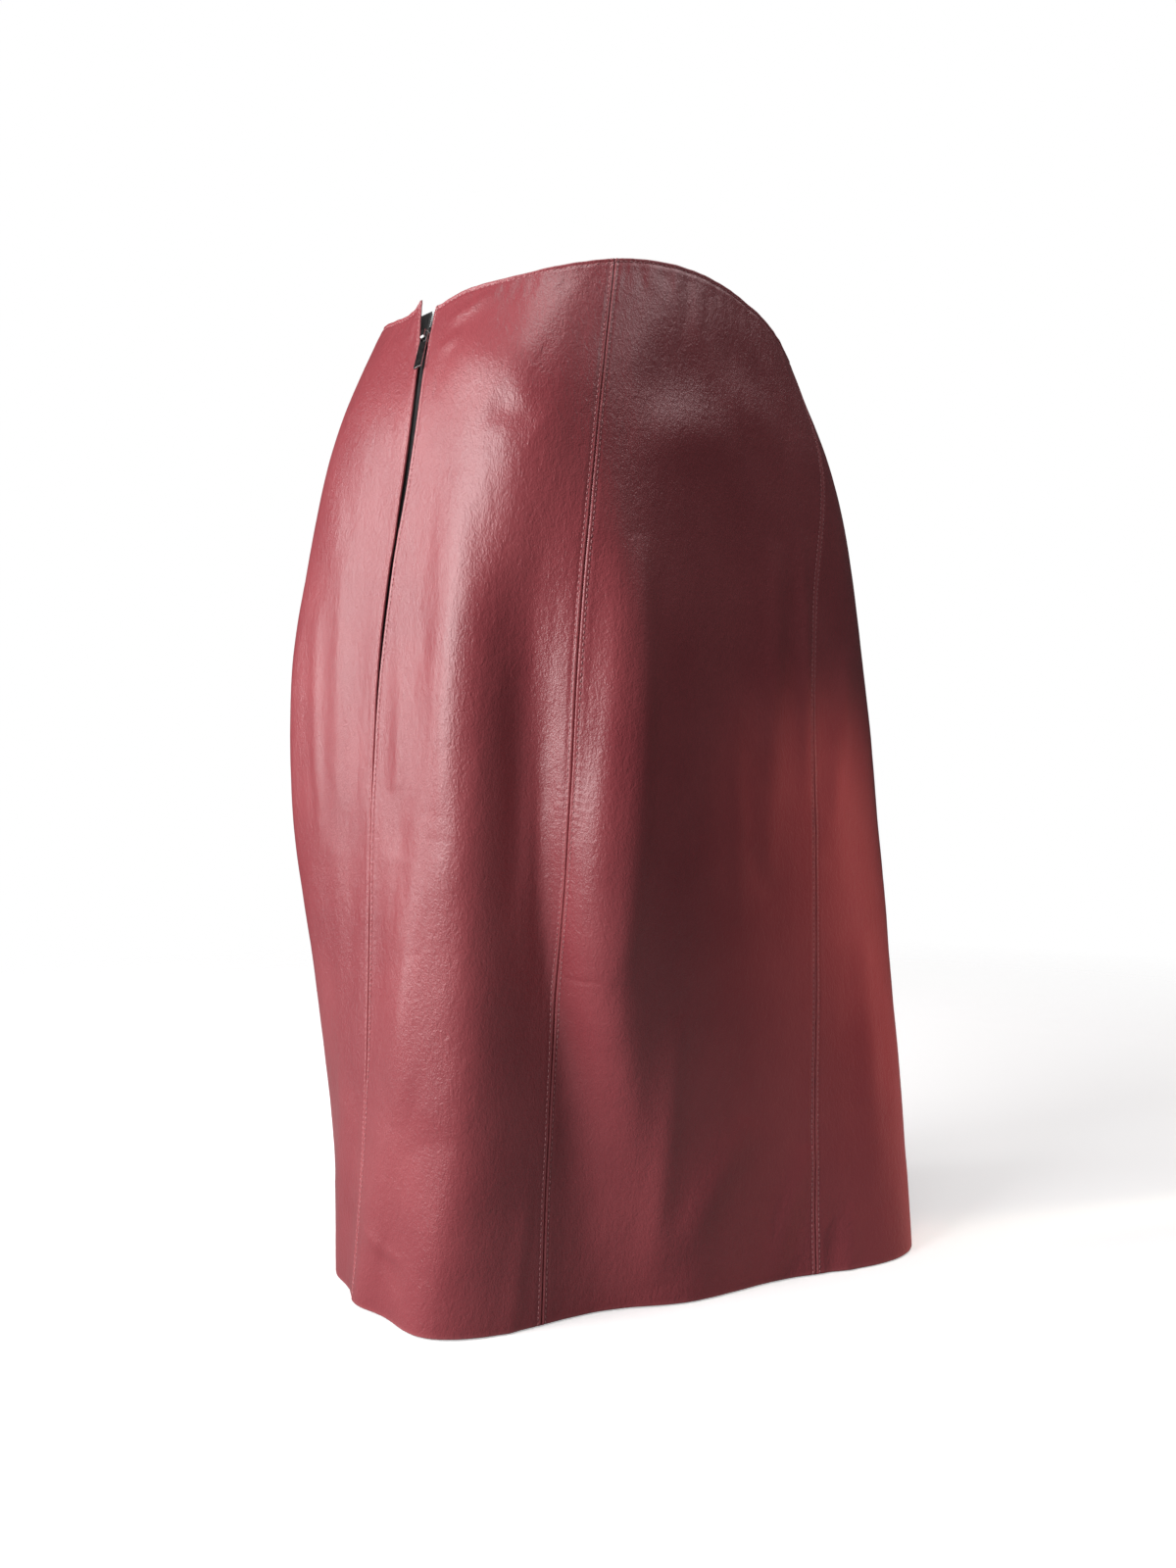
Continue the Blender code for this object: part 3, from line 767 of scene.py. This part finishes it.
def copies(name, shape, places, look):
    """One mesh of many copies of a shape. Each place is a point and its three axes."""
    points, faces = shape
    every = np.concatenate([points @ np.array(axes) + place for place, axes in places])
    shifted = [[i + k * len(points) for i in face] for k in range(len(places)) for face in faces]
    made = made_mesh(name, every, shifted)
    made.data.materials.append(look)
    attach(made, "skirt")
    return made


def stitch_places(lines):
    """Where each stitch of a seam lies, with a little lean from side to side."""
    turn = np.random.default_rng(len(lines[0][0]))
    places = []
    for line, out in lines:
        points, along, up = spaced(line, out, STITCH_PITCH)
        side = unit(np.cross(up, along))
        up = np.cross(along, side)
        for place, x, y, z in zip(points, along, side, up):
            lean = turn.normal(0, THREAD_LEAN)
            places.append((place, (x * cos(lean) + y * sin(lean), y * cos(lean) - x * sin(lean), z)))
    return places


def stitching(patches, thread):
    """The topstitching on both sides of every seam, up the zip and along under the waist edge."""
    by_start = {patch["start"]: patch for patch in patches}
    by_end = {patch["end"]: patch for patch in patches}
    shape = bar(STITCH_LONG, THREAD_WIDE, THREAD_HIGH, STITCH_STATIONS)
    for seam, distance in STITCHED.items():
        lines = [beside_edge(by_start[seam], distance, 1), beside_edge(by_end[seam], distance, -1)]
        copies("stitches_" + seam, shape, stitch_places(lines), thread)
    lines = [below_waist(patch, WAIST_STITCHED) for patch in patches]
    copies("stitches_waist", shape, stitch_places(lines), thread)


# ---------------------------------------------------------------- the zip


def zip_frame(level):
    """The point on the skirt's face at each level of the zip, which way is round it and which way is out."""
    angle = seam_angle("left_side", level)
    along = unit(skin(angle + SMALL_TURN, level) - skin(angle - SMALL_TURN, level))
    flat = unit(along * (1, 1, 0))
    out = np.stack([flat[..., 1], -flat[..., 0], np.zeros(len(flat))], axis=-1)
    return skin(angle, level), along, out


def zip_tape(name, side, look):
    """One side's woven tape, finely ribbed, just behind the leather."""
    level = np.linspace(ZIP_FOOT, 1.0, TAPE_ROWS)
    share = np.linspace(0, 1, TAPE_COLUMNS)
    point, along, out = zip_frame(level)
    aside = (TAPE_FROM + share * TAPE_REACH)[::side]
    across = point[:, None] + along[:, None] * (side * aside)[None, :, None]
    rib = TAPE_RIB * np.cos(share * 2 * pi * TAPE_RIBS)[::side]
    sink = UNDER + TAPE_DROP - rib
    near = across - out[:, None] * sink[None, :, None]
    made = closed_shell("woven_" + name, near, near - out[:, None] * TAPE_THICK * TAPE_SHARE)[0]
    made.data.materials.append(look)
    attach(made, "skirt")
    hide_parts(name)


def zip_teeth(look):
    """The nylon coil: closed teeth in turn from both sides below the slider, and stubs apart above it."""
    level = np.arange(TEETH_FROM, TEETH_TO, TOOTH_PITCH / LENGTH)
    point, along, out = zip_frame(level)
    shape = bar(CHAIN_WIDE * TOOTH_SHARE, TOOTH_WIDE, TOOTH_HIGH, TOOTH_STATIONS)
    places = []
    for k, row in enumerate(level):
        side = 1 if k % 2 else -1
        apart = TEETH_APART + TEETH_SPREAD * max(0, row - SLIDER_LEVEL)
        middle = point[k] + along[k] * side * apart - out[k] * (UNDER + CHAIN_THICK * TEETH_DROP)
        places.append((middle, (along[k] * side, np.cross(out[k], along[k] * side), out[k])))
    made = copies("coil_teeth", shape, places, look)
    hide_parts("zip_chain")


# ---------------------------------------------------------------- materials


def node(tree, kind, inputs=None, **settings):
    """A shader node with its settings, and its inputs set to values or linked from other sockets."""
    made = tree.nodes.new(kind)
    for name, value in settings.items():
        setattr(made, name, value)
    for name, value in (inputs or {}).items():
        if isinstance(value, bpy.types.NodeSocket):
            tree.links.new(value, made.inputs[name])
        else:
            made.inputs[name].default_value = value
    return made


def maths(tree, operation, *values):
    made = node(tree, "ShaderNodeMath", dict(enumerate(values)), operation=operation)
    return made.outputs[0]


def mixed(tree, share, first, second):
    """A colour between two others."""
    made = node(tree, "ShaderNodeMix", {0: share, 6: first, 7: second}, data_type="RGBA")
    return made.outputs[2]


def own_place(tree):
    return node(tree, "ShaderNodeTexCoord").outputs["Object"]


def noise(tree, place, **inputs):
    return node(tree, "ShaderNodeTexNoise", {"Vector": place, **inputs}).outputs["Fac"]


def bands(tree, place, scale, distortion, direction):
    inputs = {"Vector": place, "Scale": scale, "Distortion": distortion}
    return node(tree, "ShaderNodeTexWave", inputs, bands_direction=direction).outputs["Fac"]


def emboss(tree, surface, height, strength, distance):
    """Lets a height show in the surface's light and shade."""
    bump = node(tree, "ShaderNodeBump", {"Height": height, "Strength": strength, "Distance": distance})
    tree.links.new(bump.outputs[0], surface.inputs["Normal"])


def group(name, inputs, outputs):
    """An empty shader group with float inputs and outputs."""
    tree = bpy.data.node_groups.new(name, "ShaderNodeTree")
    for label, value in inputs.items():
        tree.interface.new_socket(label, in_out="INPUT", socket_type="NodeSocketFloat").default_value = value
    for label in outputs:
        tree.interface.new_socket(label, in_out="OUTPUT", socket_type="NodeSocketFloat")
    return tree, tree.nodes.new("NodeGroupInput"), tree.nodes.new("NodeGroupOutput")


def leather_grain():
    """Pores and fine creases, longer up than across, as a height, and soft clouds as a tone."""
    sizes = {"Cell": 1300.0, "Creases": 0.5, "Cloud": 22.0}
    tree, given, gives = group("leather_grain", sizes, ("Height", "Tone"))
    place = own_place(tree)
    along = node(tree, "ShaderNodeMapping", {"Vector": place, "Scale": (1.0, 1.0, 0.55)}).outputs[0]
    pores = {"Vector": place, "Scale": given.outputs["Cell"]}
    cells = node(tree, "ShaderNodeTexVoronoi", pores, feature="SMOOTH_F1").outputs["Distance"]
    fine = noise(tree, along, Scale=950.0, Detail=3.0, Roughness=0.65)
    wide = noise(tree, along, Scale=330.0, Detail=3.0, Distortion=0.8)
    crease = maths(tree, "MULTIPLY", wide, given.outputs["Creases"])
    rough = maths(tree, "MULTIPLY_ADD", cells, 0.5, fine)
    tree.links.new(maths(tree, "ADD", rough, crease), gives.inputs["Height"])
    cloud = noise(tree, place, Scale=given.outputs["Cloud"], Detail=5.0)
    tree.links.new(cloud, gives.inputs["Tone"])
    return tree


def plain_material(name, color, roughness, metallic=0.0):
    """A material with one colour and finish, its node tree and its shader."""
    made = bpy.data.materials.new(name)
    made.use_nodes = True
    surface = made.node_tree.nodes["Principled BSDF"]
    surface.inputs["Base Color"].default_value = (*color, 1)
    surface.inputs["Roughness"].default_value = roughness
    surface.inputs["Metallic"].default_value = metallic
    return made, made.node_tree, surface


def placed(tree, shared, **values):
    """A shared group, placed in a material with its own values."""
    made = tree.nodes.new("ShaderNodeGroup")
    made.node_tree = shared
    for name, value in values.items():
        made.inputs[name].default_value = value
    return made


def nappa_leather(grain):
    """Semi-gloss burgundy nappa: clouded colour, fine grain, paler where it is rubbed."""
    made, tree, surface = plain_material("burgundy_nappa", (0.26, 0.045, 0.055), 0.4)
    look = placed(tree, grain, Cell=1200.0, Creases=1.6, Cloud=16.0)
    rub = node(tree, "ShaderNodeAttribute", attribute_name="rub", attribute_type="GEOMETRY").outputs["Fac"]
    clouds = mixed(tree, look.outputs["Tone"], (0.205, 0.028, 0.038, 1), (0.32, 0.06, 0.07, 1))
    pale = maths(tree, "MULTIPLY", rub, 0.35)
    color = mixed(tree, pale, clouds, (0.50, 0.14, 0.15, 1))
    tree.links.new(color, surface.inputs["Base Color"])
    gloss = maths(tree, "MULTIPLY_ADD", look.outputs["Tone"], 0.12, 0.30)
    tree.links.new(gloss, surface.inputs["Roughness"])
    surface.inputs["Specular IOR Level"].default_value = 0.55
    surface.inputs["Coat Weight"].default_value = 0.25
    surface.inputs["Coat Roughness"].default_value = 0.28
    emboss(tree, surface, look.outputs["Height"], 0.9, 0.00028)
    return made


def flesh_side(grain):
    """The suede inside of the leather."""
    made, tree, surface = plain_material("burgundy_suede", (0.14, 0.03, 0.035), 0.9)
    look = placed(tree, grain, Cell=1800.0, Creases=0.3, Cloud=60.0)
    color = mixed(tree, look.outputs["Tone"], (0.10, 0.022, 0.026, 1), (0.19, 0.05, 0.052, 1))
    tree.links.new(color, surface.inputs["Base Color"])
    surface.inputs["Sheen Weight"].default_value = 0.4
    surface.inputs["Sheen Roughness"].default_value = 0.6
    emboss(tree, surface, look.outputs["Height"], 0.6, 0.0002)
    return made


def thread_material():
    """Twisted polyester thread, a shade paler than the leather."""
    made, tree, surface = plain_material("burgundy_thread", (0.40, 0.15, 0.16), 0.45)
    twist = bands(tree, own_place(tree), 900.0, 2.0, "DIAGONAL")
    color = mixed(tree, twist, (0.30, 0.09, 0.10, 1), (0.56, 0.25, 0.26, 1))
    tree.links.new(color, surface.inputs["Base Color"])
    emboss(tree, surface, twist, 0.5, 0.0001)
    return made


def tape_material():
    """Black polyester tape in a fine herringbone."""
    made, tree, surface = plain_material("black_tape_weave", (0.012, 0.012, 0.013), 0.8)
    place = own_place(tree)
    weave = bands(tree, place, 620.0, 1.0, "DIAGONAL")
    cross = bands(tree, place, 480.0, 1.0, "Z")
    height = maths(tree, "MAXIMUM", weave, cross)
    color = mixed(tree, height, (0.007, 0.007, 0.008, 1), (0.026, 0.026, 0.028, 1))
    tree.links.new(color, surface.inputs["Base Color"])
    surface.inputs["Sheen Weight"].default_value = 0.3
    emboss(tree, surface, height, 0.6, 0.0001)
    return made


def nylon_material():
    """Black nylon with the faint ribs that drawing leaves."""
    made, tree, surface = plain_material("black_nylon_coil", (0.015, 0.015, 0.016), 0.42)
    ribs = noise(tree, own_place(tree), Scale=2600.0, Detail=2.0)
    color = mixed(tree, ribs, (0.008, 0.008, 0.009, 1), (0.024, 0.023, 0.024, 1))
    tree.links.new(color, surface.inputs["Base Color"])
    tree.links.new(maths(tree, "MULTIPLY_ADD", ribs, 0.2, 0.32), surface.inputs["Roughness"])
    return made


def metal_material():
    """Polished gunmetal plate with fine scratches and duller patches where it is handled."""
    made, tree, surface = plain_material("gunmetal", (0.34, 0.32, 0.32), 0.25, 1.0)
    place = own_place(tree)
    worn = noise(tree, place, Scale=420.0, Detail=4.0)
    drawn = node(tree, "ShaderNodeMapping", {"Vector": place, "Scale": (1.0, 22.0, 22.0)}).outputs[0]
    lines = noise(tree, drawn, Scale=260.0, Detail=3.0)
    color = mixed(tree, worn, (0.24, 0.23, 0.24, 1), (0.48, 0.46, 0.45, 1))
    tree.links.new(color, surface.inputs["Base Color"])
    tree.links.new(maths(tree, "MULTIPLY_ADD", worn, 0.22, 0.12), surface.inputs["Roughness"])
    emboss(tree, surface, lines, 0.25, 0.00004)
    return made


# ---------------------------------------------------------------- the studio

EYE = Vector((0.5264, 0.6480, -0.238))
EYE_TURN, EYE_TILT, EYE_ROLL = radians(141.6), radians(-1.34), radians(-0.52)
LENS, SENSOR = 31.41, 36
NEAREST = 0.01  # what is nearer than this isn't seen
EYE_SIDE = 50.9  # which way the camera is from the skirt, in degrees from the wearer's left towards the back
FLOOR = 4.0  # from its middle to its edges
FLOOR_DROP = 0.0006  # below the hem
FLOOR_GLOW = 0.385
FLOOR_FADE_FROM, FLOOR_FADE_TO = 0.8, 1.5  # how far from the middle


def camera():
    """The eye, behind the wearer's left side at the height of the hips and nearly level."""
    ahead = Vector((-sin(EYE_TURN) * cos(EYE_TILT), cos(EYE_TURN) * cos(EYE_TILT), sin(EYE_TILT)))
    right = Vector((cos(EYE_TURN), sin(EYE_TURN), 0))
    up = right.cross(ahead)
    axes = Matrix((right, up, -ahead)).transposed() @ Matrix.Rotation(EYE_ROLL, 3, "Z")
    data = bpy.data.cameras.new("camera")
    data.lens = LENS
    data.sensor_width = SENSOR
    data.clip_start = NEAREST
    made = bpy.data.objects.new("camera", data)
    made.matrix_world = Matrix.Translation(EYE) @ axes.to_4x4()
    bpy.context.scene.collection.objects.link(made)
    bpy.context.scene.camera = made


# The area lights. azimuth is in degrees, to the right of the camera's side. shows_in is the part of a surface
# that a light shows in: its matt part, its gloss or all of it.
Softbox = namedtuple("Softbox", "name azimuth height distance wide tall power color target spread shows_in")
MIDDLE = (0, 0, -0.28)
LOW_RIGHT_PANEL = (-0.110, 0.102, -0.50)
SOFTBOXES = (
    Softbox("key_left", -54, 0.40, 2.2, 1.4, 2.0, 74, (1, 1, 1), MIDDLE, 180, "all"),
    Softbox("edge_left", -88, 0.0, 1.6, 0.35, 1.5, 11, (1, 1, 1), MIDDLE, 180, "all"),
    Softbox("low_right", 104, -0.45, 0.8, 0.02, 0.56, 0.13, (1, 0.95, 0.72), LOW_RIGHT_PANEL, 9, "diffuse"),
    Softbox("high_right", 100, 1.3, 1.4, 1.0, 0.7, 8, (1, 0.86, 0.88), MIDDLE, 180, "glossy"),
    Softbox("top", 0, 2.0, 0.5, 1.0, 1.0, 15, (1, 1, 1), MIDDLE, 180, "all"),
)


def softbox(box):
    """An area light round the skirt that faces its target."""
    side = radians(EYE_SIDE + box.azimuth)
    data = bpy.data.lights.new(box.name, "AREA")
    data.shape = "RECTANGLE"
    data.size, data.size_y = box.wide, box.tall
    data.energy = box.power
    data.color = box.color
    data.spread = radians(box.spread)
    made = bpy.data.objects.new(box.name, data)
    made.visible_camera = False
    made.visible_diffuse = box.shows_in != "glossy"
    made.visible_glossy = box.shows_in != "diffuse"
    made.location = (box.distance * cos(side), box.distance * sin(side), box.height)
    made.rotation_euler = (Vector(box.target) - made.location).to_track_quat("-Z", "Y").to_euler()
    bpy.context.scene.collection.objects.link(made)


def floor():
    """A pale floor that fades into the pale surroundings."""
    low = -LENGTH - FLOOR_DROP
    corners = [(x * FLOOR, y * FLOOR, low) for x, y in ((-1, -1), (1, -1), (1, 1), (-1, 1))]
    made = made_mesh("floor", corners, [(0, 1, 2, 3)])
    look, tree, surface = plain_material("pale_floor", (0.9, 0.9, 0.9), 1.0)
    surface.inputs["Specular IOR Level"].default_value = 0.0
    seen = node(tree, "ShaderNodeLightPath").outputs["Is Camera Ray"]
    pale = mixed(tree, seen, (0.25, 0.25, 0.25, 1), (0.9, 0.9, 0.9, 1))
    tree.links.new(pale, surface.inputs["Base Color"])
    surface.inputs["Emission Color"].default_value = (1, 1, 1, 1)
    tree.links.new(maths(tree, "MULTIPLY", seen, FLOOR_GLOW), surface.inputs["Emission Strength"])
    away = node(tree, "ShaderNodeVectorMath", {0: own_place(tree)}, operation="LENGTH").outputs["Value"]
    fade = {"From Min": FLOOR_FADE_FROM, "From Max": FLOOR_FADE_TO, "To Min": 1.0, "To Max": 0.0}
    near = node(tree, "ShaderNodeMapRange", {"Value": away, **fade}).outputs[0]
    tree.links.new(near, surface.inputs["Alpha"])
    made.data.materials.append(look)


def studio():
    """The floor, the pale surroundings, which the leather mirrors darker than they look, and the lights."""
    floor()
    world = bpy.data.worlds.new("studio")
    world.use_nodes = True
    tree = world.node_tree
    ray = node(tree, "ShaderNodeLightPath").outputs
    around = mixed(tree, ray["Is Glossy Ray"], (0.27, 0.25, 0.25, 1), (0.04, 0.036, 0.036, 1))
    shade = mixed(tree, ray["Is Camera Ray"], around, (1, 1, 1, 1))
    tree.links.new(shade, tree.nodes["Background"].inputs["Color"])
    bpy.context.scene.world = world
    bpy.context.scene.view_settings.view_transform = "Standard"
    for box in SOFTBOXES:
        softbox(box)


# ---------------------------------------------------------------- all of it


def main():
    grain = leather_grain()
    nappa, suede, thread = nappa_leather(grain), flesh_side(grain), thread_material()
    patches = [leather_panel(panel, nappa, suede) for panel in PANELS]
    stitching(patches, thread)
    tape, metal = tape_material(), metal_material()
    zip_tape("zip_tape_back", 1, tape)
    zip_tape("zip_tape_front", -1, tape)
    zip_teeth(nylon_material())
    for name in ("zip_slider", "zip_pull"):
        bpy.data.objects[name].material_slots[0].material = metal
    camera()
    studio()


main()
